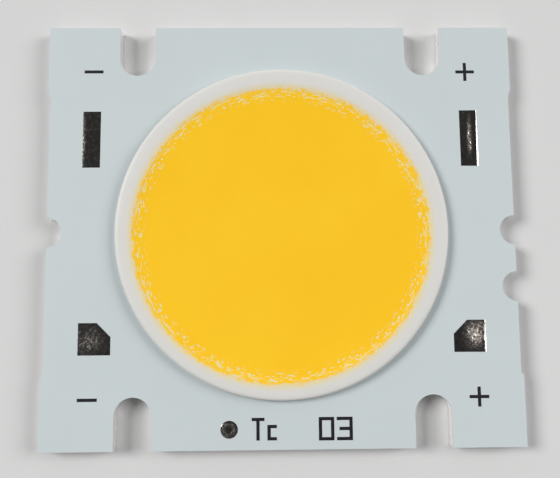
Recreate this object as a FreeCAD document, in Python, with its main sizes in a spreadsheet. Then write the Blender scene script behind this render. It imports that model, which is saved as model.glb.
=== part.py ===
import FreeCAD, Part
import math
import os
import Sketcher

# Chip-on-board LED array on an aluminium-core board, in millimetres.
# The board lies flat: its underside is z = 0, the origin is under its middle, +X runs
# along its longer side and +Y towards the edge that is away from the test point.

DIE_ROWS = 6
DIES_IN_ROW = 8
SHOULDER_FLATS = 3

# Every driving size, written once. Each becomes a named cell of the sheet.
SIZES = {
    # outline of the board, measured outwards from the dam: 46.0 by 41.3 in all
    "side_margin": 6.9,
    "end_margin": 4.55,
    "edge_recess": 0.25,
    "recess_upper_reach": 13.62,
    "recess_lower_reach": 13.75,
    "step_upper_run": 0.45,
    "step_lower_run": 0.17,
    "edge_break": 0.1,
    # screw slots in the two long edges, and half-round locating notches in the short ones
    "slot_pitch": 28.45,
    "slot_width": 3.53,
    "slot_depth": 4.95,
    "notch_radius": 1.43,
    "notch_pitch": 5.5,
    # thickness of each layer, from the bottom up
    "core_thick": 1.4,
    "film_thick": 0.1,
    "copper_thick": 0.07,
    "mask_cover": 0.03,
    # light-emitting surface and the dam around it
    "light_radius": 14.3,
    "dam_width": 1.8,
    "dam_rise": 0.9,
    "dam_round": 0.55,
    "dam_bevel_width": 0.7,
    "dam_bevel_drop": 0.65,
    "fill_rise": 0.65,
    "bond_shelf": 0.5,
    "mask_under_dam": 0.9,
    # copper tracks
    "track_past_dam": 1.2,
    "track_gap": 3.0,
    "copper_margin": 0.5,
    # solder pads beside the dam
    "pad_past_dam": 3.4,
    "upper_pad_width": 1.74,
    "upper_pad_length": 5.64,
    "upper_pad_low": 6.39,
    "lower_pad_width": 3.1,
    "lower_pad_length": 3.05,
    "lower_pad_top": 8.7,
    "lower_pad_chamfer": 1.33,
    "tin_thick": 0.05,
    # test point for the case temperature
    "test_point_radius": 0.75,
    "test_window_gap": 0.08,
    "test_point_offset": 5.13,
    "test_point_past_dam": 2.66,
    # chips and bond wires under the phosphor
    "die_length": 1.1,
    "die_width": 1.1,
    "die_thick": 0.15,
    "die_field_margin": 0.9,
    "row_end_gap": 2.1,
    "bond_inset": 0.12,
    "wire_thick": 0.04,
    "wire_foot": 0.05,
    "wire_loop_rise": 0.18,
}


class Size:
    """A length in mm together with the sheet expression that gives it."""

    def __init__(self, value, text):
        self.value = value
        self.text = text

    def __add__(self, other):
        other = as_size(other)
        return Size(self.value + other.value, "(%s + %s)" % (self.text, other.text))

    def __sub__(self, other):
        other = as_size(other)
        return Size(self.value - other.value, "(%s - %s)" % (self.text, other.text))

    def __mul__(self, factor):
        return Size(self.value * factor, "(%s * %s)" % (self.text, factor))

    def __truediv__(self, divisor):
        return Size(self.value / divisor, "(%s / %s)" % (self.text, divisor))

    def __neg__(self):
        return Size(-self.value, "(0 - %s)" % self.text)


def as_size(number):
    """Let a plain number stand where a Size is expected."""
    if isinstance(number, Size):
        return number
    return Size(float(number), str(number))


doc = FreeCAD.newDocument("led_array")
sheet = doc.addObject("Spreadsheet::Sheet", "sizes")
size = {}
for row, (name, number) in enumerate(SIZES.items(), start=1):
    sheet.set("A%d" % row, name)
    sheet.set("B%d" % row, str(number))
    sheet.setAlias("B%d" % row, name)
    size[name] = Size(number, "sizes." + name)
doc.recompute()

# Heights of the layers' upper faces.
film_floor = size["core_thick"]
film_top = film_floor + size["film_thick"]
copper_top = film_top + size["copper_thick"]
mask_top = copper_top + size["mask_cover"]

# Radii about the middle of the light-emitting surface.
dam_outer = size["light_radius"] + size["dam_width"]
window_radius = size["light_radius"] - size["bond_shelf"]
track_outer = dam_outer + size["track_past_dam"]
mask_inner = dam_outer - size["mask_under_dam"]

# Places on the board.
half_width = dam_outer + size["side_margin"]
half_depth = dam_outer + size["end_margin"]
recessed_x = half_width - size["edge_recess"]
slot_x = size["slot_pitch"] / 2
slot_radius = size["slot_width"] / 2
slot_centre_y = half_depth - size["slot_depth"] + slot_radius
pad_outer_x = dam_outer + size["pad_past_dam"]
test_point_x = -size["test_point_offset"]
test_point_y = -(dam_outer + size["test_point_past_dam"])

subparts = []


def bind(thing, **sizes):
    """Tie properties of an object to expressions of the sheet."""
    for name, value in sizes.items():
        thing.setExpression(name, as_size(value).text)


def place(thing, x=None, y=None, z=None):
    """Tie an object's position to expressions of the sheet."""
    for axis, value in (("x", x), ("y", y), ("z", z)):
        if value is not None:
            thing.setExpression("Placement.Base." + axis, as_size(value).text)


def keep(thing, label):
    """List an object as one of the array's own pieces, under the name of its file."""
    thing.Label = label
    subparts.append(thing)
    return thing


def origin_plane(body, role):
    """The body's own datum plane of that role."""
    for feature in body.Origin.OriginFeatures:
        if feature.Role == role:
            return feature
    raise RuntimeError("no plane " + role)


def closed_sketch(body, name, corners, plane="XY_Plane"):
    """A closed outline through corners, each (x, y, way on), with every corner's place bound.

    The way on is "line" for a straight side to the next corner, or "hollow x" or "hollow y"
    for a half circle that bites into the outline, centred on the chord along that axis.
    """
    sketch = body.newObject("Sketcher::SketchObject", name)
    sketch.AttachmentSupport = (origin_plane(body, plane), [""])
    sketch.MapMode = "FlatFace"
    count = len(corners)
    heads = []
    tails = []
    hollows = []
    for index, (x, y, way) in enumerate(corners):
        next_x, next_y, _ = corners[(index + 1) % count]
        here = FreeCAD.Vector(x.value, y.value, 0)
        there = FreeCAD.Vector(next_x.value, next_y.value, 0)
        if way == "line":
            side = sketch.addGeometry(Part.LineSegment(here, there), False)
            heads.append((side, 1))
            tails.append((side, 2))
            continue
        middle = (here + there) / 2
        spoke = there - middle
        start = math.atan2(spoke.y, spoke.x)
        circle = Part.Circle(middle, FreeCAD.Vector(0, 0, 1), spoke.Length)
        side = sketch.addGeometry(Part.ArcOfCircle(circle, start, start + math.pi), False)
        heads.append((side, 2))
        tails.append((side, 1))
        hollows.append((side, x, y, way))
    for index in range(count):
        sketch.addConstraint(Sketcher.Constraint("Coincident", *tails[index - 1], *heads[index]))
    for index, (x, y, _) in enumerate(corners):
        for kind, value in (("DistanceX", x), ("DistanceY", y)):
            fix_distance(sketch, kind, heads[index], value)
    for side, x, y, way in hollows:
        if way == "hollow x":
            fix_distance(sketch, "DistanceX", (side, 3), x)
        else:
            fix_distance(sketch, "DistanceY", (side, 3), y)
    return sketch


def fix_distance(sketch, kind, point, value):
    """Hold a sketch point at a bound distance from the sketch's origin."""
    made = sketch.addConstraint(Sketcher.Constraint(kind, -1, 1, *point, value.value))
    sketch.setExpression("Constraints[%d]" % made, value.text)


def circle_sketch(body, name, radius):
    """A bound circle about the body's origin."""
    sketch = body.newObject("Sketcher::SketchObject", name)
    sketch.AttachmentSupport = (origin_plane(body, "XY_Plane"), [""])
    sketch.MapMode = "FlatFace"
    circle = Part.Circle(FreeCAD.Vector(0, 0, 0), FreeCAD.Vector(0, 0, 1), radius.value)
    made = sketch.addGeometry(circle, False)
    sketch.addConstraint(Sketcher.Constraint("Coincident", made, 3, -1, 1))
    held = sketch.addConstraint(Sketcher.Constraint("Radius", made, radius.value))
    sketch.setExpression("Constraints[%d]" % held, radius.text)
    return sketch


def padded_body(name, sketch_corners, thickness, height):
    """A body that is one outline padded up by thickness, standing at height."""
    body = doc.addObject("PartDesign::Body", name)
    sketch = closed_sketch(body, name + "_outline", sketch_corners)
    pad = body.newObject("PartDesign::Pad", name + "_pad")
    pad.Profile = sketch
    bind(pad, Length=thickness)
    place(body, z=height)
    doc.recompute()
    return body, pad


def half_edge(sign):
    """One long edge of the board with its two screw slots, walked with the board on the left."""
    edge = half_depth if sign > 0 else -half_depth
    centre = slot_centre_y if sign > 0 else -slot_centre_y
    corners = []
    for middle in (slot_x * sign, slot_x * -sign):
        near = middle + slot_radius * sign
        far = middle - slot_radius * sign
        corners += [
            (near, edge, "line"),
            (near, centre, "hollow y"),
            (far, centre, "line"),
            (far, edge, "line"),
        ]
    return corners


def board_outline():
    """Corners of the punched board, anticlockwise from its lower left corner."""
    upper_step = size["recess_upper_reach"] + size["step_upper_run"]
    lower_step = -(size["recess_lower_reach"] + size["step_lower_run"])
    upper_end = size["recess_upper_reach"]
    lower_end = -size["recess_lower_reach"]
    notch = size["notch_radius"]
    pitch = size["notch_pitch"]
    corners = [(-half_width, -half_depth, "line")]
    corners += half_edge(-1)
    corners += [
        (half_width, -half_depth, "line"),
        (half_width, lower_step, "line"),
        (recessed_x, lower_end, "line"),
        (recessed_x, -pitch - notch, "hollow x"),
        (recessed_x, -pitch + notch, "line"),
        (recessed_x, -notch, "hollow x"),
        (recessed_x, notch, "line"),
        (recessed_x, upper_end, "line"),
        (half_width, upper_step, "line"),
        (half_width, half_depth, "line"),
    ]
    corners += half_edge(1)
    corners += [
        (-half_width, half_depth, "line"),
        (-half_width, upper_step, "line"),
        (-recessed_x, upper_end, "line"),
        (-recessed_x, notch, "hollow x"),
        (-recessed_x, -notch, "line"),
        (-recessed_x, lower_end, "line"),
        (-half_width, lower_step, "line"),
    ]
    return corners


def cylinder(name, radius, height, x=None, y=None, z=None):
    """A bound upright cylinder."""
    made = doc.addObject("Part::Cylinder", name)
    bind(made, Radius=radius, Height=height)
    place(made, x, y, z)
    return made


def box(name, length, width, height, x, y, z):
    """A bound upright box, placed by its lowest corner."""
    made = doc.addObject("Part::Box", name)
    bind(made, Length=length, Width=width, Height=height)
    place(made, x, y, z)
    return made


def fuse(name, shapes):
    """Several solids joined into one."""
    made = doc.addObject("Part::MultiFuse", name)
    made.Shapes = shapes
    return made


def cut(name, base, tool):
    """One solid less another."""
    made = doc.addObject("Part::Cut", name)
    made.Base = base
    made.Tool = tool
    return made


def base_plate():
    """The aluminium core, punched to the outline, with its lower edge broken."""
    body, pad = padded_body("base_plate", board_outline(), size["core_thick"], as_size(0))
    underside = None
    for index, face in enumerate(pad.Shape.Faces, start=1):
        if face.normalAt(0, 0).z < -0.9:
            underside = "Face%d" % index
    bevel = body.newObject("PartDesign::Chamfer", "lower_edge_break")
    bevel.Base = (pad, [underside])
    bind(bevel, Size=size["edge_break"])
    body.Tip = bevel
    return keep(body, "base_plate")


def dielectric_film():
    """The insulating film on the core, open over the mirror on which the chips sit."""
    body, pad = padded_body("dielectric_film", board_outline(), size["film_thick"], film_floor)
    solid_volume = pad.Shape.Volume
    window = body.newObject("PartDesign::Pocket", "chip_window")
    window.Profile = circle_sketch(body, "chip_window_circle", window_radius)
    window.Type = "ThroughAll"
    window.Reversed = True
    doc.recompute()
    if window.Shape.Volume > solid_volume - 1:
        raise RuntimeError("the chip window cuts nothing")
    return keep(body, "dielectric_film")


def track(side, label):
    """Copper of one polarity: half a ring under the dam, with a lug under each of its pads."""
    outer_x = pad_outer_x + size["copper_margin"]
    ring_blank = cylinder(label + "_disc", track_outer, size["copper_thick"], z=film_top)
    half_start = size["track_gap"] / 2
    start = half_start if side > 0 else -track_outer
    half = box(label + "_half", track_outer - half_start, track_outer * 2, size["copper_thick"],
               start, -track_outer, film_top)
    half_disc = doc.addObject("Part::Common", label + "_half_disc")
    half_disc.Base = ring_blank
    half_disc.Tool = half
    lug_start = half_start if side > 0 else -outer_x
    lug_length = outer_x - half_start
    margin = size["copper_margin"]
    upper_lug = box(label + "_upper_lug", lug_length, size["upper_pad_length"] + margin * 2,
                    size["copper_thick"], lug_start, size["upper_pad_low"] - margin, film_top)
    lower_lug = box(label + "_lower_lug", lug_length, size["lower_pad_length"] + margin * 2,
                    size["copper_thick"], lug_start,
                    -(size["lower_pad_top"] + size["lower_pad_length"] + margin), film_top)
    blank = fuse(label + "_blank", [half_disc, upper_lug, lower_lug])
    opening = cylinder(label + "_opening", window_radius, size["copper_thick"], z=film_top)
    return keep(cut(label, blank, opening), label)


def upper_pad(side, label):
    """A long tinned pad."""
    width = size["upper_pad_width"]
    left = pad_outer_x - width if side > 0 else -pad_outer_x
    low = size["upper_pad_low"]
    high = low + size["upper_pad_length"]
    right = left + width
    corners = [(left, low, "line"), (right, low, "line"), (right, high, "line"), (left, high, "line")]
    body, _ = padded_body(label, corners, size["tin_thick"], copper_top)
    return keep(body, label)


def lower_pad(side, label):
    """A square tinned pad with its corner towards the dam cut off."""
    inner = pad_outer_x - size["lower_pad_width"]
    high = -size["lower_pad_top"]
    low = high - size["lower_pad_length"]
    bevel = size["lower_pad_chamfer"]
    corners = [
        (inner, low, "line"),
        (pad_outer_x, low, "line"),
        (pad_outer_x, high, "line"),
        (inner + bevel, high, "line"),
        (inner, high - bevel, "line"),
    ]
    if side < 0:
        corners = [(-x, y, way) for x, y, way in reversed(corners)]
    body, _ = padded_body(label, corners, size["tin_thick"], copper_top)
    return keep(body, label)


def test_point():
    """The small round copper land for a thermocouple, and the tin on it."""
    land = cylinder("test_point_copper", size["test_point_radius"], size["copper_thick"],
                    test_point_x, test_point_y, film_top)
    tin = cylinder("test_point_tin", size["test_point_radius"], size["tin_thick"],
                   test_point_x, test_point_y, copper_top)
    return keep(land, "test_point_copper"), keep(tin, "test_point_tin")


def solder_mask(openings):
    """The white mask: it wraps the copper and leaves the pads and the light surface open."""
    layer = size["copper_thick"] + size["mask_cover"]
    blank, _ = padded_body("mask_blank", board_outline(), layer, film_top)
    light_opening = cylinder("light_opening", mask_inner, layer, z=film_top)
    test_opening = cylinder("test_opening", size["test_point_radius"] + size["test_window_gap"], layer,
                            test_point_x, test_point_y, film_top)
    tools = fuse("mask_openings", list(openings) + [light_opening, test_opening])
    return keep(cut("solder_mask", blank, tools), "solder_mask")


def dam_ring(bed):
    """The white silicone dam: a ring cast over the mask and the copper, rounded on its outer
    shoulder in a few flats and bevelled down to the light surface."""
    body = doc.addObject("PartDesign::Body", "dam_bead")
    place(body, z=film_top)
    crest = mask_top + size["dam_rise"] - film_top
    inner = size["light_radius"]
    ground = as_size(0)
    corners = [(inner, ground, "line"), (dam_outer, ground, "line")]
    for step in range(SHOULDER_FLATS + 1):
        turn = math.radians(90 * step / SHOULDER_FLATS)
        inset = size["dam_round"] * round(1 - math.cos(turn), 6)
        drop = size["dam_round"] * round(1 - math.sin(turn), 6)
        corners.append((dam_outer - inset, crest - drop, "line"))
    corners += [
        (inner + size["dam_bevel_width"], crest, "line"),
        (inner, crest - size["dam_bevel_drop"], "line"),
    ]
    section = closed_sketch(body, "dam_section", corners, "XZ_Plane")
    turned = body.newObject("PartDesign::Revolution", "dam_turned")
    turned.Profile = section
    turned.ReferenceAxis = (section, ["V_Axis"])
    turned.Angle = 360
    return keep(cut("dam_ring", body, fuse("dam_bed", bed)), "dam_ring")


def die_places(row):
    """The y of one row of chips and the x of each chip, spread evenly across the window."""
    field = window_radius.value - SIZES["die_field_margin"]
    reach = field - SIZES["row_end_gap"]
    y = reach * (2 * row / (DIE_ROWS - 1) - 1)
    chord = math.sqrt(field ** 2 - y ** 2)
    return y, [chord * (2 * number / (DIES_IN_ROW - 1) - 1) for number in range(DIES_IN_ROW)]


def grouped(shapes, label):
    """Several separate like solids under one name."""
    made = doc.addObject("Part::Feature", label)
    made.Shape = Part.makeCompound(shapes)
    return keep(made, label)


def die_row(row):
    """One series string of blue chips on the mirror."""
    y, places = die_places(row)
    length, width, thick = SIZES["die_length"], SIZES["die_width"], SIZES["die_thick"]
    dies = []
    for x in places:
        corner = FreeCAD.Vector(x - length / 2, y - width / 2, film_floor.value)
        dies.append(Part.makeBox(length, width, thick, corner))
    return grouped(dies, "die_row_%d" % (row + 1))


def wire(y, start, end):
    """A peaked loop of bond wire from start to end, each (x, z), with start on the left."""
    thick, foot = SIZES["wire_thick"], SIZES["wire_foot"]
    middle = (start[0] + end[0]) / 2
    peak = max(start[1], end[1]) + SIZES["wire_loop_rise"]
    side = [
        start,
        (start[0] + foot, start[1]),
        (middle, peak - thick),
        (end[0] - foot, end[1]),
        end,
        (middle, peak),
    ]
    corners = [FreeCAD.Vector(x, y - thick / 2, z) for x, z in side]
    face = Part.Face(Part.makePolygon(corners + corners[:1]))
    return face.extrude(FreeCAD.Vector(0, thick, 0))


def bond_wires(row):
    """The wires that join one row of chips in series, from shelf to shelf."""
    y, places = die_places(row)
    reach = SIZES["die_length"] / 2 - SIZES["bond_inset"]
    die_top = film_floor.value + SIZES["die_thick"]
    shelf_radius = (window_radius.value + SIZES["light_radius"]) / 2
    shelf_x = math.sqrt(shelf_radius ** 2 - y ** 2)
    wires = [wire(y, (-shelf_x, copper_top.value), (places[0] - reach, die_top))]
    for left, right in zip(places, places[1:]):
        wires.append(wire(y, (left + reach, die_top), (right - reach, die_top)))
    wires.append(wire(y, (places[-1] + reach, die_top), (shelf_x, copper_top.value)))
    return grouped(wires, "bond_wires_%d" % (row + 1))


def phosphor_fill(neighbours):
    """Silicone with phosphor, poured level inside the dam around all that it covers."""
    depth = mask_top.value + SIZES["fill_rise"] - film_floor.value
    reach = SIZES["light_radius"] + SIZES["dam_bevel_width"]
    pour = Part.makeCylinder(reach, depth, FreeCAD.Vector(0, 0, film_floor.value))
    covered = []
    for neighbour in neighbours:
        covered += neighbour.Shape.Solids
    fill = doc.addObject("Part::Feature", "phosphor_fill")
    fill.Shape = pour.cut(covered)
    return keep(fill, "phosphor_fill")


base_plate()
film = dielectric_film()
tracks = [track(-1, "negative_track"), track(1, "positive_track")]
pads = [
    upper_pad(-1, "negative_pad_upper"),
    lower_pad(-1, "negative_pad_lower"),
    upper_pad(1, "positive_pad_upper"),
    lower_pad(1, "positive_pad_lower"),
]
lands = test_point()
doc.recompute()
mask = solder_mask(tracks + pads + list(lands))
dam = dam_ring([mask] + tracks)
doc.recompute()
chips = [die_row(row) for row in range(DIE_ROWS)]
wires = [bond_wires(row) for row in range(DIE_ROWS)]
phosphor_fill([film, dam] + tracks + chips + wires)
doc.recompute()

for thing in doc.Objects:
    if "Invalid" in thing.State or "Error" in thing.State:
        raise RuntimeError("%s failed: %s" % (thing.Name, thing.State))
os.makedirs("parts", exist_ok=True)
for thing in subparts:
    if thing.Shape.isNull() or not thing.Shape.isValid():
        raise RuntimeError(thing.Label + " has no valid shape")
for thing in subparts:
    thing.Shape.exportStep(os.path.join("parts", thing.Label + ".step"))
    print(thing.Label, len(thing.Shape.Solids), "solids", round(thing.Shape.Volume, 4), "mm3")
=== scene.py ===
import math

import bpy
import numpy as np
from mathutils import Matrix, Vector


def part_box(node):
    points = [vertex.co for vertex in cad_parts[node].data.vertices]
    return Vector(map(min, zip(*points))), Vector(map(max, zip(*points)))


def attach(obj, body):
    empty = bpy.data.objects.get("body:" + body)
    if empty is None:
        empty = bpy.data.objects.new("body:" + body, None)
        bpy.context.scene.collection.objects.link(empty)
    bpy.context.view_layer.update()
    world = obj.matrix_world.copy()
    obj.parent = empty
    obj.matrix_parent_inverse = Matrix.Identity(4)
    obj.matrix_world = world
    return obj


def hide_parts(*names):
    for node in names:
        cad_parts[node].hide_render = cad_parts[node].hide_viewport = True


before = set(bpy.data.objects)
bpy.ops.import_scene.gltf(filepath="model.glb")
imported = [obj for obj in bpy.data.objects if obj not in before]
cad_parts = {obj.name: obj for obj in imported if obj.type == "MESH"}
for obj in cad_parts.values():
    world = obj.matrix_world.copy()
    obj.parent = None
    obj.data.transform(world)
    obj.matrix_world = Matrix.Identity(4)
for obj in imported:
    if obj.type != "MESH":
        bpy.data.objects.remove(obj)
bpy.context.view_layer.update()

# Sizes below are in mm, in the solids' own frame: +X runs to the right in the photograph, +Y away
# from the test point and +Z up, the way the light leaves.
MM = 0.001

# Size of the photograph and the camera that took it: how the board lies in the camera's own axes.
PHOTO_WIDTH = 560
FOCAL_PIXELS = 650.0
SENSOR_MM = 36.0
CAMERA_TURN_DEGREES = (-6.42, 0.97, 0.40)
BOARD_IN_CAMERA_MM = (0.16, 0.58, -64.80)

# Lamps: bearing from +X, height above the floor and width of the glow in degrees, and their
# share of the plain level.
LAMPS = {
    "left_lamp": (163.0, 40.0, 25.0, 0.462),
    "right_lamp": (13.0, 35.0, 34.0, 0.293),
}
# The studio dome: its level at the back, at the front and overhead, where the camera stands, and
# the share of its level that a screen right in front lets through.
DOME_BACK = 0.47
DOME_FRONT = 0.42
DOME_ZENITH = 0.03
DOME_SCREENED = 0.12
BACKDROP_LEVEL = 0.665

FLOOR_COLOUR = (0.675, 0.670, 0.668, 1.0)
MASK_COLOUR = (0.575, 0.632, 0.645, 1.0)
DAM_COLOUR = (0.698, 0.690, 0.660, 1.0)
# Painted glow: the yellow that the dam's white is tinted with next to the phosphor, in place of the light
# that the phosphor scatters into it.
DAM_PAINTED_GLOW = (0.84, 0.68, 0.26, 1.0)
PHOSPHOR_COLOUR = (0.995, 0.590, 0.024, 1.0)
PHOSPHOR_DEEP = (0.980, 0.568, 0.021, 1.0)
# Painted highlight: the pale colour of the flecks that stand in for the lamps' glints on the creases and pits
# at the rim of the light surface.
PHOSPHOR_PAINTED_GLINT = (0.785, 0.745, 0.430, 1.0)
INK_COLOUR = (0.012, 0.010, 0.013, 1.0)


def extent(name):
    """Lowest and highest corner of a CAD node, in mm."""
    low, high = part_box(name)
    return np.array(low) / MM, np.array(high) / MM


# Levels and radii that the new pieces share with the solids.
DAM_WIDTH = 1.8
BOND_SHELF = 0.5
MASK_UNDER_DAM = 0.9
MASK_TOP = extent("solder_mask")[1][2]
TRACK_TOP = extent("negative_track")[1][2]
FILM_FLOOR = extent("dielectric_film")[0][2]
DAM_OUTER = extent("dam_ring")[1][0]
DAM_CREST = extent("dam_ring")[1][2]
FILL_TOP = extent("phosphor_fill")[1][2]
LIGHT_RADIUS = DAM_OUTER - DAM_WIDTH
WINDOW_RADIUS = LIGHT_RADIUS - BOND_SHELF

# The dam's crest runs at this radius and wavers by this much, and its inner side falls from it by
# this much to the light surface.
DAM_BROW = LIGHT_RADIUS + 0.6
CREST_SWAY = 0.01
INNER_DROP = 0.045

# The yellow ran a little to the front of the dam's middle, and ends at this radius about its own.
# The clear silicone that it is in laps up the dam's slope to a larger radius. The last value says
# how ragged the yellow's edge is, from 0 for an even one.
POUR_MIDDLE = (-0.07, -0.25)
POUR_EDGE = LIGHT_RADIUS + 0.035
POUR_LAP = LIGHT_RADIUS + 0.3
POUR_RAGGEDNESS = 1.15

# Edges that turn by more than this stay sharp.
SHARP_DEGREES = 50

# The mesh attributes that mark the creases and pits along the rim of the light surface, which the
# material paints pale as painted highlights for the lamps' glints on them, and where tin is frosted.
PAINTED_GLINT_SPOTS = "painted_glint_spots"
FROST = "frost"


# Meshes

def lattice(u, v, rows, columns, seed):
    """Smooth random heights from -1 to 1 over u and v, each from 0 to 1.

    A seeded random height stands at each point of a lattice, and between four points the
    heights are blended by 6t^5 - 15t^4 + 10t^3. The lattice closes on itself along v.
    """
    heights = np.random.default_rng(seed).uniform(-1, 1, (rows + 1, columns))
    x, y = np.clip(u, 0, 1) * (rows - 1e-6), (v % 1.0) * columns
    i, j = x.astype(int), y.astype(int) % columns
    s, t = x - i, y - np.floor(y)
    s = s * s * s * (s * (6 * s - 15) + 10)
    t = t * t * t * (t * (6 * t - 15) + 10)
    right = (j + 1) % columns
    near = heights[i, j] * (1 - t) + heights[i, right] * t
    far = heights[i + 1, j] * (1 - t) + heights[i + 1, right] * t
    return near * (1 - s) + far * s


def piece(name, vertices, faces, material, smooth=True):
    """A mesh object at the origin from vertices in mm, riding on the board."""
    mesh = bpy.data.meshes.new(name)
    mesh.from_pydata((np.asarray(vertices) * MM).tolist(), [], faces)
    mesh.update()
    if smooth:
        mesh.polygons.foreach_set("use_smooth", np.ones(len(mesh.polygons), dtype=bool))
        mesh.set_sharp_from_angle(angle=math.radians(SHARP_DEGREES))
    made = bpy.data.objects.new(name, mesh)
    bpy.context.collection.objects.link(made)
    mesh.materials.append(material)
    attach(made, "root")
    return made


def turned_faces(rows, columns):
    """Faces of a grid whose columns close round an axis: quads from each ring to the next."""
    ring, step = np.meshgrid(np.arange(rows - 1), np.arange(columns), indexing="ij")
    here = ring * columns + step
    beside = ring * columns + (step + 1) % columns
    return np.stack([here, beside, beside + columns, here + columns], -1).reshape(-1, 4)


def turned_ring(name, rings, material):
    """A closed ring: rings[i] is one hoop of points, and the last hoop meets the first again."""
    rows, columns, _ = rings.shape
    faces = turned_faces(rows + 1, columns) % (rows * columns)
    return piece(name, rings.reshape(-1, 3), faces.tolist(), material)


def turned_solid(name, rings, material):
    """A closed solid: hoops from the underside outwards and back over the top, with both middles
    closed by a fan to their centre."""
    rows, columns, _ = rings.shape
    faces = turned_faces(rows, columns).tolist()
    low, high = rows * columns, rows * columns + 1
    step = np.arange(columns)
    after = (step + 1) % columns
    last = (rows - 1) * columns
    faces += np.stack([after, step, np.full(columns, low)], -1).tolist()
    faces += np.stack([last + step, last + after, np.full(columns, high)], -1).tolist()
    centres = np.stack([rings[0].mean(0), rings[-1].mean(0)])
    vertices = np.concatenate([rings.reshape(-1, 3), centres])
    return piece(name, vertices, faces, material)


def hoops(radius, height, columns):
    """Hoops about the Z axis: radius and height are given for every hoop, and may vary along it."""
    turn = np.arange(columns) * 2 * math.pi / columns
    radius, height = np.broadcast_arrays(radius, height)
    return np.stack([radius * np.cos(turn), radius * np.sin(turn), height], -1)


def closed_sheet(name, top, floor, material):
    """A closed slab under a grid of points top[row, column], down to a flat floor.

    Rows run towards +Y and columns towards +X.
    """
    rows, columns, _ = top.shape
    under = top.copy()
    under[..., 2] = floor
    count = rows * columns
    i, j = np.meshgrid(np.arange(rows - 1), np.arange(columns - 1), indexing="ij")
    a = i * columns + j
    upper = np.stack([a, a + 1, a + 1 + columns, a + columns], -1).reshape(-1, 4)
    lower = upper[:, ::-1] + count
    front = np.arange(columns - 1)
    right = np.arange(rows - 1) * columns + columns - 1
    rim = np.concatenate([
        np.stack([front, front + count, front + 1 + count, front + 1], -1),
        np.stack([right, right + count, right + columns + count, right + columns], -1),
    ])
    back = (rows - 1) * columns + front
    left = np.arange(rows - 1) * columns
    rim = np.concatenate([
        rim,
        np.stack([back + 1, back + 1 + count, back + count, back], -1),
        np.stack([left + columns, left + columns + count, left + count, left], -1),
    ])
    faces = np.concatenate([upper, lower, rim]).tolist()
    return piece(name, np.concatenate([top.reshape(-1, 3), under.reshape(-1, 3)]), faces, material)


def printed(name, bars, material, thick=0.018):
    """A printed mark of upright and level bars, each (x low, y low, x high, y high) in mm.

    The bars' edges cut the plane into cells. Every cell inside a bar is a box from the mask
    up to the ink's face, and walls stand only where an inked cell meets a bare one.
    """
    bars = np.array(bars)
    xs = np.unique(bars[:, [0, 2]])
    ys = np.unique(bars[:, [1, 3]])
    mid_x, mid_y = np.meshgrid((xs[1:] + xs[:-1]) / 2, (ys[1:] + ys[:-1]) / 2, indexing="ij")
    inked = np.zeros((len(xs) + 1, len(ys) + 1), dtype=bool)
    for low_x, low_y, high_x, high_y in bars:
        inked[1:-1, 1:-1] |= (mid_x > low_x) & (mid_x < high_x) & (mid_y > low_y) & (mid_y < high_y)
    grid_x, grid_y = np.meshgrid(xs, ys, indexing="ij")
    low = np.stack([grid_x, grid_y, np.full_like(grid_x, MASK_TOP)], -1).reshape(-1, 3)
    vertices = np.concatenate([low, low + [0, 0, thick]])
    count, deep = len(low), len(ys)
    faces = []
    for i, j in np.argwhere(inked[1:-1, 1:-1]):
        a = i * deep + j
        b, c, d = a + deep, a + deep + 1, a + 1
        faces += [(d, c, b, a), (a + count, b + count, c + count, d + count)]
        for (di, dj), (p, q) in {(0, -1): (a, b), (1, 0): (b, c), (0, 1): (c, d), (-1, 0): (d, a)}.items():
            if not inked[i + 1 + di, j + 1 + dj]:
                faces.append((p, q, q + count, p + count))
    used, renumbered = np.unique(np.array(faces), return_inverse=True)
    piece(name, vertices[used], renumbered.reshape(-1, 4).tolist(), material, smooth=False)


# Shader nodes

def put(tree, kind, settings=None, **values):
    """Add a node: settings are its own options, and every other value goes to the input of that
    name (spaces as underscores), as a link where the value is a socket."""
    made = tree.nodes.new(kind)
    for option, choice in (settings or {}).items():
        setattr(made, option, choice)
    for name, value in values.items():
        feed(tree, made.inputs[name.replace("_", " ")], value)
    return made


def feed(tree, socket, value):
    """Link a socket to the input where the value is one, and else set the input to the value."""
    if isinstance(value, bpy.types.NodeSocket):
        tree.links.new(value, socket)
    else:
        socket.default_value = value


def reckon(tree, operation, first, second=0.0):
    """A Math node's result."""
    made = tree.nodes.new("ShaderNodeMath")
    made.operation = operation
    for socket, value in zip(made.inputs, (first, second)):
        feed(tree, socket, value)
    return made.outputs[0]


def fade(tree, value, low, high, start=0.0, end=1.0):
    """value from low to high turned smoothly into start to end."""
    made = put(tree, "ShaderNodeMapRange", {"interpolation_type": "SMOOTHSTEP"}, Value=value,
               From_Min=low, From_Max=high, To_Min=start, To_Max=end)
    return made.outputs[0]


def blend(tree, share, first, second):
    """One colour faded into another by share."""
    made = tree.nodes.new("ShaderNodeMix")
    made.data_type = "RGBA"
    for index, value in ((0, share), (6, first), (7, second)):
        feed(tree, made.inputs[index], value)
    return made.outputs[2]


def places(tree):
    """The piece's own coordinates in mm."""
    coordinates = tree.nodes.new("ShaderNodeTexCoord").outputs["Object"]
    made = tree.nodes.new("ShaderNodeVectorMath")
    made.operation = "SCALE"
    tree.links.new(coordinates, made.inputs[0])
    made.inputs["Scale"].default_value = 1 / MM
    return made.outputs[0]


def stretched(tree, vector, scale):
    """The coordinates multiplied axis by axis, so that a pattern is drawn out."""
    made = tree.nodes.new("ShaderNodeVectorMath")
    made.operation = "MULTIPLY"
    tree.links.new(vector, made.inputs[0])
    made.inputs[1].default_value = scale
    return made.outputs[0]


def noise(tree, vector, scale, detail=3.0, roughness=0.5):
    """Fractal noise between 0 and 1."""
    made = put(tree, "ShaderNodeTexNoise", Vector=vector, Scale=scale, Detail=detail, Roughness=roughness)
    return made.outputs[0]


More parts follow.
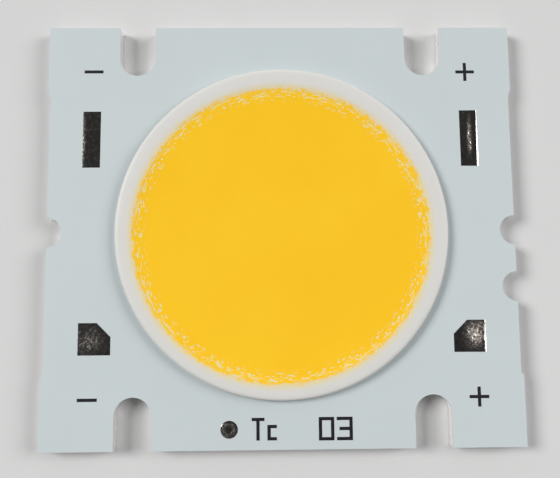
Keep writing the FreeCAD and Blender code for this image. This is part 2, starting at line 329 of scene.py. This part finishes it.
def bump(tree, height, strength, depth_mm):
    """A normal tilted by height, with relief of depth_mm."""
    made = put(tree, "ShaderNodeBump", Strength=strength, Distance=depth_mm * MM, Height=height)
    return made.outputs[0]


def new_group(name, inputs, outputs):
    """An empty shader node group with its sockets, and its two end nodes."""
    group = bpy.data.node_groups.new(name, "ShaderNodeTree")
    for label, kind, value in inputs:
        socket = group.interface.new_socket(label, in_out="INPUT", socket_type=kind)
        if value is not None:
            socket.default_value = value
    for label, kind in outputs:
        group.interface.new_socket(label, in_out="OUTPUT", socket_type=kind)
    return group, group.nodes.new("NodeGroupInput"), group.nodes.new("NodeGroupOutput")


def tone_group():
    """Soft cloudy change of tone: two sizes of noise lighten and darken a colour a little."""
    group, source, sink = new_group(
        "cloudy_tone",
        [("Colour", "NodeSocketColor", None), ("Amount", "NodeSocketFloat", 0.05),
         ("Cloud", "NodeSocketFloat", 0.3)],
        [("Colour", "NodeSocketColor")])
    at = places(group)
    wide = noise(group, at, source.outputs["Cloud"], 2.0)
    fine = noise(group, at, 9.0, 3.0, 0.6)
    both = reckon(group, "ADD", reckon(group, "MULTIPLY", wide, 0.75), reckon(group, "MULTIPLY", fine, 0.25))
    lift = reckon(group, "MULTIPLY", reckon(group, "SUBTRACT", both, 0.5), source.outputs["Amount"])
    factor = reckon(group, "ADD", lift, 1.0)
    scaled = group.nodes.new("ShaderNodeVectorMath")
    scaled.operation = "SCALE"
    group.links.new(source.outputs["Colour"], scaled.inputs[0])
    group.links.new(factor, scaled.inputs["Scale"])
    group.links.new(scaled.outputs[0], sink.inputs["Colour"])
    return group


def peel_group():
    """The fine orange peel of a cast or printed skin, as a height from 0 to 1."""
    group, source, sink = new_group(
        "orange_peel", [("Grain", "NodeSocketFloat", 6.0), ("Fineness", "NodeSocketFloat", 0.5)],
        [("Height", "NodeSocketFloat")])
    at = places(group)
    coarse = noise(group, at, source.outputs["Grain"], 2.0)
    fine = noise(group, at, 28.0, 2.0, source.outputs["Fineness"])
    group.links.new(reckon(group, "ADD", reckon(group, "MULTIPLY", coarse, 0.7),
                           reckon(group, "MULTIPLY", fine, 0.3)), sink.inputs["Height"])
    return group


def drawn_marks_group():
    """Fine parallel marks left by rolling or shearing, drawn out by Stretch, from 0 to 1."""
    group, source, sink = new_group(
        "drawn_marks",
        [("Stretch", "NodeSocketVector", (0.3, 12.0, 12.0)), ("Scale", "NodeSocketFloat", 1.0)],
        [("Marks", "NodeSocketFloat")])
    drawn = group.nodes.new("ShaderNodeVectorMath")
    drawn.operation = "MULTIPLY"
    group.links.new(places(group), drawn.inputs[0])
    group.links.new(source.outputs["Stretch"], drawn.inputs[1])
    group.links.new(noise(group, drawn.outputs[0], source.outputs["Scale"], 4.0, 0.65), sink.inputs["Marks"])
    return group


def pour_edge_group():
    """Where the yellow ends on the dam: a ragged mask that is 1 inside its edge, and the white
    beside it, with a painted yellow glow for the light that the phosphor scatters into the dam,
    which fades over three quarters of a millimetre."""
    group, source, sink = new_group(
        "pour_edge",
        [("Edge", "NodeSocketFloat", 14.0), ("Raggedness", "NodeSocketFloat", 1.0),
         ("White", "NodeSocketColor", None), ("Warmed", "NodeSocketColor", None)],
        [("Yellow", "NodeSocketFloat"), ("White", "NodeSocketColor")])
    at = places(group)
    past = reckon(group, "SUBTRACT", pour_distance(group, at), source.outputs["Edge"])
    fine = reckon(group, "MULTIPLY", noise(group, at, 3.4, 2.0, 0.55), 0.75)
    wide = reckon(group, "MULTIPLY", noise(group, at, 0.8, 2.0), 0.5)
    waves = reckon(group, "SUBTRACT", reckon(group, "ADD", fine, wide), 0.62)
    ragged = reckon(group, "ADD", past, reckon(group, "MULTIPLY", waves, source.outputs["Raggedness"]))
    group.links.new(fade(group, ragged, -0.24, 0.20, 1.0, 0.0), sink.inputs["Yellow"])
    # Painted glow: the white is tinted yellow near the yellow's edge, in place of the light scattered from
    # the phosphor, fading outwards.
    glow_width, glow_most = 0.75, 0.56
    glow_share = fade(group, past, 0.0, glow_width, glow_most, 0.0)
    white = blend(group, glow_share, source.outputs["White"], source.outputs["Warmed"])
    group.links.new(white, sink.inputs["White"])
    return group


def pour_distance(tree, at):
    """Distance from the middle of the yellow, in mm."""
    moved = tree.nodes.new("ShaderNodeVectorMath")
    moved.operation = "SUBTRACT"
    tree.links.new(at, moved.inputs[0])
    moved.inputs[1].default_value = (*POUR_MIDDLE, 0.0)
    made = tree.nodes.new("ShaderNodeVectorMath")
    made.operation = "LENGTH"
    tree.links.new(stretched(tree, moved.outputs[0], (1.0, 1.0, 0.0)), made.inputs[0])
    return made.outputs["Value"]


TONE = tone_group()
PEEL = peel_group()
DRAWN = drawn_marks_group()
POUR_BOUND = pour_edge_group()


def use(tree, group, **values):
    """Place a shared group in a material with its own values."""
    made = tree.nodes.new("ShaderNodeGroup")
    made.node_tree = group
    for name, value in values.items():
        feed(tree, made.inputs[name], value)
    return made.outputs[0] if len(made.outputs) == 1 else made.outputs


def finish_named(name, **constants):
    """A new material with a Principled shader whose plain numbers are set on its own sockets."""
    material = bpy.data.materials.new(name)
    material.use_nodes = True
    tree = material.node_tree
    shader = tree.nodes["Principled BSDF"]
    for label, value in constants.items():
        shader.inputs[label.replace("_", " ")].default_value = value
    return material, tree, shader


def link(tree, shader, **sockets):
    """Feed worked-out sockets to the shader's inputs of those names."""
    for label, socket in sockets.items():
        tree.links.new(socket, shader.inputs[label.replace("_", " ")])


# Materials

def mask_finish():
    """White solder mask, a very slightly blue satin with a faint print grain."""
    material, tree, shader = finish_named("white_solder_mask", Roughness=0.5, Specular_IOR_Level=0.35)
    colour = use(tree, TONE, Colour=MASK_COLOUR, Amount=0.06, Cloud=0.16)
    link(tree, shader, Base_Color=colour,
         Normal=bump(tree, use(tree, PEEL, Grain=5.0), 0.3, 0.006))
    return material


def film_finish():
    """The cream insulating film, which shows only as a line in the cut edges."""
    material, tree, shader = finish_named("cream_film", Roughness=0.6)
    link(tree, shader, Base_Color=use(tree, TONE, Colour=(0.62, 0.58, 0.47, 1), Amount=0.2, Cloud=0.8),
         Normal=bump(tree, use(tree, PEEL, Grain=9.0), 0.4, 0.01))
    return material


def core_finish():
    """Aluminium sheet: rolled faces with long marks, and punched walls that are burnished
    above and broken and dull below."""
    material, tree, shader = finish_named("punched_aluminium")
    at = places(tree)
    split = put(tree, "ShaderNodeSeparateXYZ", Vector=at)
    height = split.outputs["Z"]
    wall_foot = (0.03, 0.08)
    rolled = use(tree, DRAWN, Stretch=(0.25, 9.0, 9.0), Scale=1.0)
    sheared = use(tree, DRAWN, Stretch=(7.0, 7.0, 0.5), Scale=1.0)
    wall = fade(tree, height, *wall_foot)
    ragged = reckon(tree, "ADD", height, reckon(tree, "MULTIPLY", noise(tree, at, 1.6, 3.0), 0.35))
    broken = reckon(tree, "MULTIPLY", fade(tree, ragged, 0.62, 0.72, 1.0, 0.0), wall)
    marks = reckon(tree, "ADD", reckon(tree, "MULTIPLY", rolled, fade(tree, height, *wall_foot, 1.0, 0.0)),
                   reckon(tree, "MULTIPLY", sheared, wall))
    colour = blend(tree, broken, (0.94, 0.94, 0.94, 1), (0.84, 0.83, 0.81, 1))
    burnish = fade(tree, marks, 0.2, 0.8, 0.10, 0.22)
    torn = reckon(tree, "MULTIPLY", noise(tree, at, 14.0), broken)
    link(tree, shader, Base_Color=use(tree, TONE, Colour=colour, Amount=0.12, Cloud=0.6),
         Roughness=reckon(tree, "ADD", burnish, reckon(tree, "MULTIPLY", broken, 0.14)),
         Metallic=fade(tree, height, *wall_foot, 1.0, 0.8),
         Normal=bump(tree, reckon(tree, "ADD", marks, torn), 0.3, 0.015))
    return material


def copper_finish():
    """Etched copper under the mask."""
    material, tree, shader = finish_named("etched_copper", Metallic=1.0, Roughness=0.35)
    link(tree, shader, Base_Color=use(tree, TONE, Colour=(0.80, 0.45, 0.30, 1), Amount=0.3, Cloud=0.5),
         Normal=bump(tree, use(tree, PEEL, Grain=12.0), 0.4, 0.008))
    return material


def tin_finish():
    """Hot-levelled tin: bright and liquid, with tiny grains, and frosted where it is crumpled."""
    material, tree, shader = finish_named("levelled_tin", Metallic=1.0)
    at = places(tree)
    grains = noise(tree, at, 3.2, 4.0, 0.6)
    frost = put(tree, "ShaderNodeAttribute", {"attribute_name": FROST}).outputs["Fac"]
    clean = blend(tree, fade(tree, grains, 0.35, 0.7), (0.70, 0.69, 0.66, 1), (0.56, 0.55, 0.53, 1))
    colour = blend(tree, frost, clean, (0.76, 0.69, 0.63, 1))
    liquid = fade(tree, noise(tree, at, 2.4, 3.0), 0.35, 0.75, 0.08, 0.16)
    patchy = reckon(tree, "MULTIPLY", frost, fade(tree, noise(tree, at, 5.0, 3.0), 0.3, 0.7, 0.07, 0.21))
    link(tree, shader, Base_Color=colour, Roughness=reckon(tree, "ADD", liquid, patchy),
         Normal=bump(tree, use(tree, PEEL, Grain=4.0, Fineness=0.7), 0.25, 0.02))
    return material


def dam_finish():
    """Milky silicone. Next to the light surface a thin yellow veil runs up its slope, and beside the
    veil the white carries a painted yellow glow for the light that the phosphor scatters into it.
    """
    material, tree, shader = finish_named(
        "milky_silicone", Roughness=0.48, Specular_IOR_Level=0.35, Subsurface_Weight=0.12,
        Subsurface_Scale=0.7 * MM, Subsurface_Radius=(1.0, 0.97, 0.9))
    bound = use(tree, POUR_BOUND, Edge=POUR_EDGE, Raggedness=POUR_RAGGEDNESS, White=DAM_COLOUR,
                Warmed=DAM_PAINTED_GLOW)
    white = use(tree, TONE, Colour=bound["White"], Amount=0.04, Cloud=0.3)
    link(tree, shader, Base_Color=blend(tree, bound["Yellow"], white, PHOSPHOR_COLOUR),
         Normal=bump(tree, use(tree, PEEL, Grain=1.5), 0.2, 0.02))
    return material


def phosphor_finish():
    """Yellow phosphor in clear silicone: deep and even in the middle, with painted highlights, pale
    flecks for the lamps' glints, in the creases and pits along its rim, and a ragged yellow veil on
    the white slope of the dam, whose white beside the veil carries a painted yellow glow."""
    material, tree, shader = finish_named("phosphor_silicone", Specular_IOR_Level=0.35)
    at = places(tree)
    cloud = fade(tree, noise(tree, at, 0.13, 3.0), 0.35, 0.65)
    deep = blend(tree, cloud, PHOSPHOR_COLOUR, PHOSPHOR_DEEP)
    toned = use(tree, TONE, Colour=deep, Amount=0.04, Cloud=0.5)
    # Painted highlight: the creases and pits along the rim are painted pale, in place of the lamps' glints on
    # them.
    painted_glints = put(tree, "ShaderNodeAttribute", {"attribute_name": PAINTED_GLINT_SPOTS}).outputs["Fac"]
    spotted = blend(tree, painted_glints, toned, PHOSPHOR_PAINTED_GLINT)
    bound = use(tree, POUR_BOUND, Edge=POUR_EDGE, Raggedness=POUR_RAGGEDNESS, White=DAM_COLOUR,
                Warmed=DAM_PAINTED_GLOW)
    link(tree, shader, Base_Color=blend(tree, bound["Yellow"], bound["White"], spotted),
         Roughness=fade(tree, bound["Yellow"], 0.0, 1.0, 0.48, 0.18),
         Normal=bump(tree, use(tree, PEEL, Grain=1.2, Fineness=0.4), 0.15, 0.01))
    return material


def ink_finish():
    """Black printing ink, with the mask's grain just showing through."""
    material, tree, shader = finish_named("black_ink", Roughness=0.55, Specular_IOR_Level=0.25)
    link(tree, shader, Base_Color=use(tree, TONE, Colour=INK_COLOUR, Amount=1.2, Cloud=4.0),
         Normal=bump(tree, use(tree, PEEL, Grain=8.0), 0.4, 0.008))
    return material


def chip_finish():
    """Glossy blue-tinted crystal, a little uneven in tone."""
    material, tree, shader = finish_named("crystal_chip", Roughness=0.1, IOR=1.77)
    link(tree, shader, Base_Color=use(tree, TONE, Colour=(0.30, 0.42, 0.62, 1), Amount=0.4, Cloud=2.0),
         Normal=bump(tree, use(tree, PEEL, Grain=10.0), 0.2, 0.004))
    return material


def wire_finish():
    """Drawn gold wire."""
    material, tree, shader = finish_named("gold_wire", Metallic=1.0, Roughness=0.2)
    link(tree, shader, Base_Color=use(tree, TONE, Colour=(0.90, 0.66, 0.25, 1), Amount=0.2, Cloud=3.0),
         Normal=bump(tree, use(tree, DRAWN, Stretch=(0.5, 20.0, 20.0)), 0.3, 0.004))
    return material


def floor_finish():
    """Plain pale table."""
    material, tree, shader = finish_named("pale_table", Roughness=0.9, Specular_IOR_Level=0.1)
    link(tree, shader, Base_Color=use(tree, TONE, Colour=FLOOR_COLOUR, Amount=0.03, Cloud=0.05))
    return material


TIN = tin_finish()
COPPER = copper_finish()
INK = ink_finish()
PHOSPHOR = phosphor_finish()
DAM = dam_finish()

NODE_FINISHES = {
    "solder_mask": mask_finish(),
    "dielectric_film": film_finish(),
    "base_plate": core_finish(),
    "track": COPPER,
    "test_point_copper": COPPER,
    "pad": TIN,
    "test_point_tin": TIN,
    "dam_ring": DAM,
    "phosphor_fill": PHOSPHOR,
    "die_row": chip_finish(),
    "bond_wires": wire_finish(),
}


def dress_nodes():
    """Give every solid that came from the frame its finish."""
    for name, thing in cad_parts.items():
        finish = next(value for key, value in NODE_FINISHES.items() if key in name)
        thing.data.materials.clear()
        thing.data.materials.append(finish)


# Pieces

def dam_slope(radius):
    """Height of the dam's inner side: it falls from the brow with the square of the distance."""
    run = (DAM_BROW - radius) / (DAM_BROW - LIGHT_RADIUS)
    return DAM_CREST - INNER_DROP * np.clip(run, 0, None) ** 2


def crest_sway(v):
    """How far the dam's crest dips at each share v of the way round: smooth random heights below zero."""
    return CREST_SWAY * (lattice(np.full((1, v.size), 0.3), v, 2, 23, 11) - 1)


def dam_bead():
    """The dam as it sets. Outside it is a quarter of a superellipse, x^k + y^k = 1, from the mask
    up to the brow, and inside it falls to the light surface. The crest and the side waver."""
    columns = 360
    side_sway = 0.03
    v = np.arange(columns) / columns
    boxiness = 6.0
    turn = np.linspace(0, math.pi / 2, 30)
    outer = np.stack([
        DAM_BROW + (DAM_OUTER - DAM_BROW) * np.cos(turn) ** (2 / boxiness),
        MASK_TOP + (DAM_CREST - MASK_TOP) * np.sin(turn) ** (2 / boxiness)], -1)
    down = np.linspace(DAM_BROW, LIGHT_RADIUS, 10)[1:]
    inner = np.stack([down, dam_slope(down)], -1)
    seat = DAM_OUTER - MASK_UNDER_DAM
    foot = np.array([(LIGHT_RADIUS, TRACK_TOP), (seat, TRACK_TOP), (seat, MASK_TOP)])
    section = np.concatenate([foot, outer, inner])
    high = np.clip((section[:, 1:2] - MASK_TOP) / (DAM_CREST - MASK_TOP), 0, 1)
    height = section[:, 1:2] + high * crest_sway(v)
    inset = high * (lattice(np.full((1, columns), 0.6), v, 2, 31, 12) * 0.5 - 0.5) * side_sway
    made = turned_ring("dam_bead", hoops(section[:, :1] + inset, height, columns), DAM)
    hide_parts("dam_ring")


def rim_line(inward, v, depth, share, seed):
    """A thin broken line that follows the rim: the bell exp(-(s/w)^2) of the distance s from it,
    which is 1 on it and falls to 0 beside it.

    Its path lies depth mm inside the edge and wavers by a fifth of a millimetre. Its width w
    swells and shrinks along the rim, and where it would be negative the line is broken.
    """
    thickest, least = 0.070, 0.01
    along = np.full((1, v.size), 0.3)
    path = depth + 0.13 * lattice(along, v, 2, 110, seed) + 0.06 * lattice(along, v, 2, 310, seed + 1)
    thick = thickest * np.clip(lattice(along, v, 2, 170, seed + 2) + share, 0, 1)
    return np.exp(-((inward - path) / (thick + least)) ** 2) * np.clip(thick / 0.02, 0, 1)


def phosphor_pour():
    """The phosphor as it sets: a very shallow bowl that rises with the eighth power of the
    radius and is creased along its rim by broken lines with small pits inside them. It is joined
    to the dam's slope by the smooth maximum log(exp(a) + exp(b)) of the two heights."""
    columns = 1400
    crease_depth, wrinkle, swelling, meniscus = 0.022, 0.006, 0.006, 0.006
    hub = 0.4
    v = np.arange(columns) / columns
    radius = np.concatenate([
        np.linspace(POUR_LAP, LIGHT_RADIUS - 0.95, 36),
        np.linspace(LIGHT_RADIUS - 1.0, LIGHT_RADIUS - 1.7, 16),
        np.linspace(LIGHT_RADIUS - 2.1, hub, 10)])[:, None]
    turn = v * 2 * math.pi
    away = np.hypot(radius * np.cos(turn) - POUR_MIDDLE[0], radius * np.sin(turn) - POUR_MIDDLE[1])
    inward = POUR_EDGE - away
    lines = np.maximum.reduce([
        rim_line(inward, v, 0.10, 0.05, 71), rim_line(inward, v, 0.33, 0.15, 21),
        rim_line(inward, v, 0.58, -0.12, 31), rim_line(inward, v, 0.86, -0.4, 41)])
    u = np.clip(inward / 1.6, 0, 1)
    pitted = np.interp(inward, [0.2, 0.45, 0.9, 1.35], [0, 1, 1, 0])
    pits = np.clip(7 * (lattice(u, v, 15, 380, 23) - 0.5), 0, 1) * pitted
    creases_and_glints = np.maximum(lines, pits)
    wrinkled = np.interp(inward, [-0.1, 0.2, 0.8, 1.3], [0, 1, 1, 0])
    relief = -crease_depth * creases_and_glints + wrinkle * wrinkled * lattice(u, v, 10, 300, 24)
    inside = np.clip(radius / POUR_LAP, 0, 1)
    sag = (DAM_CREST - FILL_TOP) * (1 - inside ** 8)
    swell = swelling * lattice(inside, v + 0 * radius, 6, 9, 25) * np.clip(radius / 6, 0, 1)
    level = DAM_CREST - INNER_DROP - sag + swell + relief
    # Its outermost edge is tucked just under the dam's slope, and from there on it lies just over it.
    tuck = np.interp(POUR_LAP - radius, [0, 0.1], [-0.004, 0.002])
    slope = dam_slope(radius) + crest_sway(v) + tuck
    height = meniscus * np.logaddexp(level / meniscus, slope / meniscus)
    # Underneath it fills the window and its shelf, stands against the dam and runs out below the lap.
    wall_top, lap_under = FILL_TOP - 0.2, DAM_CREST - 0.06
    foot_radius = np.array([
        hub, WINDOW_RADIUS, WINDOW_RADIUS, LIGHT_RADIUS, LIGHT_RADIUS, POUR_LAP])[:, None]
    foot_height = np.array([FILM_FLOOR, FILM_FLOOR, TRACK_TOP, TRACK_TOP, wall_top, lap_under])[:, None]
    under = hoops(foot_radius, foot_height * np.ones((1, columns)), columns)
    made = turned_solid("phosphor_pour", np.concatenate([under, hoops(radius, height, columns)]), PHOSPHOR)
    # The same creases and pits carry painted highlights: the material paints them pale, in place of the
    # lamps' glints.
    spots = np.concatenate([np.zeros(under[..., 0].size), creases_and_glints.ravel(), [0.0, 0.0]])
    made.data.attributes.new(PAINTED_GLINT_SPOTS, "FLOAT", "POINT").data.foreach_set("value", spots)
    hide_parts("phosphor_fill")


# Where each pad's tin is crumpled: how deep in mm, how frosted, the middle of the patch and its
# half sizes as shares of the pad, and how wide the rounded strip at its right-hand edge is in mm.
PAD_TIN = {
    "negative_pad_upper": (0.012, 1.2, (0.03, 0.50), (0.13, 0.50), 0.0),
    "negative_pad_lower": (0.021, 0.9, (0.40, 0.42), (0.46, 0.46), 0.0),
    "positive_pad_upper": (0.037, 1.8, (0.52, 0.52), (0.13, 0.32), 0.22),
    "positive_pad_lower": (0.041, 2.4, (0.68, 0.56), (0.32, 0.40), 0.30),
}
# How much of the lower pads' corner is cut off, along each edge, and how thick plain tin is.
PAD_BEVEL = 1.33
TIN_SKIN = 0.03


def tin_pad(node, seed):
    """Hot-levelled tin on one pad: a nearly level skin with a crumpled patch of random heights
    under a bell exp(-(x/a)^2 - (y/b)^2). On the left-hand pads the left edge is nicked. On the
    right-hand pads the tin swells with the square of the way across, and rolls off to the right
    over a strip that narrows towards the back. The lower pads have the corner that faces the dam
    cut off."""
    low, high = extent(node)
    depth, frost, (patch_x, patch_y), (half_x, half_y), strip = PAD_TIN[node]
    width, length = high[0] - low[0], high[1] - low[1]
    grid, lump_length, lump_width = 0.03, 0.32, 0.26
    strip_swell, nick_share, nick_reach, grain_height = 0.05, 0.8, 0.07, 0.0012
    rows, columns = int(length / grid), int(width / grid)
    v = np.linspace(0, 1, rows)[:, None] * np.ones((1, columns))
    u = np.ones((rows, 1)) * np.linspace(0, 1, columns)[None]
    y = low[1] + v * length
    cut = np.clip((PAD_BEVEL if "lower" in node else 0.0) - (high[1] - y), 0, None)
    left = low[0] + (cut if strip else 0)
    right = high[0] - (0 if strip else cut)
    x = left + u * (right - left)
    across = (x - low[0]) / width
    cells = max(4, int(length / lump_length)), max(4, int(width / lump_width))
    # Less than once round the lattice, so that the pad's left and right edges differ.
    near = across * 0.9
    crumple = 0.6 + 0.6 * lattice(v, near, *cells, seed)
    crumple += 0.4 * lattice(v, near, cells[0] * 2, cells[1] * 2, seed + 1)
    bell = np.exp(-((across - patch_x) / half_x) ** 2 - ((v - patch_y) / half_y) ** 2)
    grain = grain_height * lattice(v, near, cells[0] * 4, cells[1] * 4, seed + 2)
    height = depth * bell * crumple + grain
    if strip:
        reach = strip * (1.15 - 0.85 * v + 0.15 * lattice(v, 0 * u, cells[0], 3, seed + 3))
        rolled = np.clip(1 - (right - x) / reach, 0, 1)
        height += strip_swell * across ** 2 * (1 - rolled ** 2)
    else:
        nick = np.clip(lattice(v, 0 * u, cells[0] * 2, 3, seed + 3) + 0.1, 0, 1)
        height -= nick_share * depth * nick * np.exp(-(x - low[0]) / nick_reach)
        rolled = 0 * x
    top = np.stack([x, y, TRACK_TOP + TIN_SKIN + height], -1)
    made = closed_sheet(node + "_tin", top, TRACK_TOP, TIN)
    frosting = np.tile(np.maximum(frost * bell, rolled ** 0.5).ravel(), 2)
    made.data.attributes.new(FROST, "FLOAT", "POINT").data.foreach_set("value", frosting)
    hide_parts(node)


# The test point's tin wets out this far past its copper, up to the mask, in mm.
WETTED_RIM = 0.075


def test_point_button():
    """The tinned test point: a low round cushion, level in the middle. Its flank rises by
    1 - (1 - s)^2, to a little more on the left than on the right, and its outer half is a ring
    raised by the sine of its width."""
    low, high = extent("test_point_tin")
    centre, radius = (low + high) / 2, (high[0] - low[0]) / 2 + WETTED_RIM
    columns = 96
    flank_rise, left_rise, ring_rise, lump_rise = 0.0175, 0.0065, 0.030, 0.006
    hub, flank_width, ring_start, ring_width = 0.02, 0.12, 0.1, 0.55
    v = np.arange(columns) / columns
    reach = np.concatenate([[hub, 0.5, 1.0], np.linspace(1.0, hub, 60)])[:, None]
    inward = 1 - reach[3:]
    ring = np.sin(np.clip((inward - ring_start) / ring_width, 0, 1) * math.pi)
    flank = 1 - (1 - np.clip(inward / flank_width, 0, 1)) ** 2
    lean = -np.cos(v * 2 * math.pi) * reach[3:]
    lumps = lattice(inward, v + 0 * inward, 9, 19, 41)
    lumps *= np.clip(5 * inward, 0, 1) * np.clip(3 - 3 * inward, 0, 1)
    button = (flank_rise + left_rise * lean) * flank + ring_rise * ring + lump_rise * lumps
    height = np.concatenate([np.full((3, columns), TRACK_TOP), TRACK_TOP + button])
    rings = hoops(reach * radius, height, columns) + [centre[0], centre[1], 0]
    made = turned_solid("test_point_button", rings, TIN)
    frosting = np.concatenate([np.zeros(3 * columns), (1.1 * ring + 0 * v).ravel(), [0.3, 0.3]])
    made.data.attributes.new(FROST, "FLOAT", "POINT").data.foreach_set("value", frosting)
    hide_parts("test_point_tin")


# The printed signs, letters and digits are all drawn with this stroke.
STROKE = 0.3


def bar(x, y, width, depth):
    """A bar by its middle and its size."""
    return (x - width / 2, y - depth / 2, x + width / 2, y + depth / 2)


def signs():
    """The polarity signs near the corners."""
    length = 1.86
    for name, x, y, plus in (
            ("minus_upper", -18.55, 16.1, False), ("minus_lower", -18.5, -15.9, False),
            ("plus_upper", 18.5, 16.0, True), ("plus_lower", 18.62, -15.95, True)):
        bars = [bar(x, y, length, STROKE)]
        if plus:
            bars.append(bar(x, y, STROKE, length))
        printed(name, bars, INK)


def case_point_letters():
    """The letters beside the test point, which say where the case temperature is taken."""
    top, foot = -17.69, -19.77
    printed("letter_t", [
        (-3.0, top - STROKE, -1.81, top),
        bar(-2.42, (top + foot) / 2, STROKE, top - foot),
    ], INK)
    left, right, crown = -1.53, -0.65, -18.35
    printed("letter_c", [
        (left, foot, left + STROKE, crown),
        (left, crown - STROKE, right, crown),
        (left, foot, right, foot + STROKE),
    ], INK)


def digits():
    """A plain two-digit number in square strokes: a nought and a three."""
    top, foot = -17.68, -19.83
    middle = (top + foot) / 2
    left, right = 3.31, 4.76
    printed("digit_left", [
        (left, foot, left + STROKE, top), (right - STROKE, foot, right, top),
        (left, top - STROKE, right, top), (left, foot, right, foot + STROKE),
    ], INK)
    left, right = 5.01, 6.5
    printed("digit_right", [
        (left, top - STROKE, right, top), (left, foot, right, foot + STROKE),
        (right - STROKE, foot, right, top), (left + 0.25, middle - STROKE / 2, right, middle + STROKE / 2),
    ], INK)


# Stage

def table():
    """A wide pale table just under the board."""
    half, level = 1500 * MM, -0.02 * MM
    mesh = bpy.data.meshes.new("table")
    mesh.from_pydata([(-half, -half, level), (half, -half, level), (half, half, level), (-half, half, level)],
                     [], [(0, 1, 2, 3)])
    mesh.materials.append(floor_finish())
    made = bpy.data.objects.new("table", mesh)
    bpy.context.collection.objects.link(made)


def dome():
    """A studio dome, brighter at the back than at the front, screened right in front and dark
    overhead, where the camera is. The camera itself sees a plain pale backdrop."""
    world = bpy.data.worlds.new("studio_dome")
    world.use_nodes = True
    tree = world.node_tree
    background = tree.nodes["Background"]
    towards = tree.nodes.new("ShaderNodeTexCoord").outputs["Generated"]
    direction = put(tree, "ShaderNodeSeparateXYZ", Vector=towards)
    aside = reckon(tree, "MULTIPLY", reckon(tree, "ABSOLUTE", direction.outputs["X"]), 0.8)
    screen = fade(tree, reckon(tree, "ADD", direction.outputs["Y"], aside), -0.75, -0.25, DOME_SCREENED, 1.0)
    round_about = reckon(tree, "MULTIPLY", screen,
                         fade(tree, direction.outputs["Y"], -0.7, 0.7, DOME_FRONT, DOME_BACK))
    overhead = fade(tree, direction.outputs["Z"], 0.50, 0.94)
    around = reckon(tree, "MULTIPLY", round_about, reckon(tree, "SUBTRACT", 1.0, overhead))
    level = reckon(tree, "ADD", around, reckon(tree, "MULTIPLY", overhead, DOME_ZENITH))
    seen = tree.nodes.new("ShaderNodeLightPath").outputs["Is Camera Ray"]
    background.inputs["Color"].default_value = (1, 1, 1, 1)
    strength = reckon(tree, "ADD", reckon(tree, "MULTIPLY", level, reckon(tree, "SUBTRACT", 1.0, seen)),
                      reckon(tree, "MULTIPLY", seen, BACKDROP_LEVEL))
    tree.links.new(strength, background.inputs["Strength"])
    bpy.context.scene.world = world


def lamps():
    """Two soft far lamps, each giving its share of the plain level on the table."""
    for name, (bearing, rise, glow, share) in LAMPS.items():
        light = bpy.data.lights.new(name, "SUN")
        light.angle = math.radians(glow)
        light.energy = share * math.pi / math.sin(math.radians(rise))
        made = bpy.data.objects.new(name, light)
        bpy.context.collection.objects.link(made)
        turn, up = math.radians(bearing), math.radians(rise)
        towards = Vector((math.cos(turn) * math.cos(up), math.sin(turn) * math.cos(up), math.sin(up)))
        made.location = towards
        made.rotation_mode = "QUATERNION"
        made.rotation_quaternion = (-towards).to_track_quat("-Z", "Y")


def camera():
    """The camera, from how the board lies in its axes: turned about X, then Y, then Z."""
    lens = bpy.data.cameras.new("camera")
    lens.sensor_width = SENSOR_MM
    lens.lens = FOCAL_PIXELS / PHOTO_WIDTH * SENSOR_MM
    lens.clip_start = MM
    made = bpy.data.objects.new("camera", lens)
    bpy.context.collection.objects.link(made)
    about_x, about_y, about_z = (Matrix.Rotation(math.radians(angle), 4, axis)
                                 for angle, axis in zip(CAMERA_TURN_DEGREES, "XYZ"))
    board = Matrix.Translation(Vector(BOARD_IN_CAMERA_MM) * MM) @ about_z @ about_y @ about_x
    made.matrix_world = board.inverted()
    bpy.context.scene.camera = made


dress_nodes()
dam_bead()
phosphor_pour()
# Each pad draws random heights of its own.
for number, pad in enumerate(PAD_TIN):
    tin_pad(pad, 50 + 10 * number)
test_point_button()
signs()
case_point_letters()
digits()
table()
dome()
lamps()
camera()
bpy.context.scene.view_settings.view_transform = "Standard"
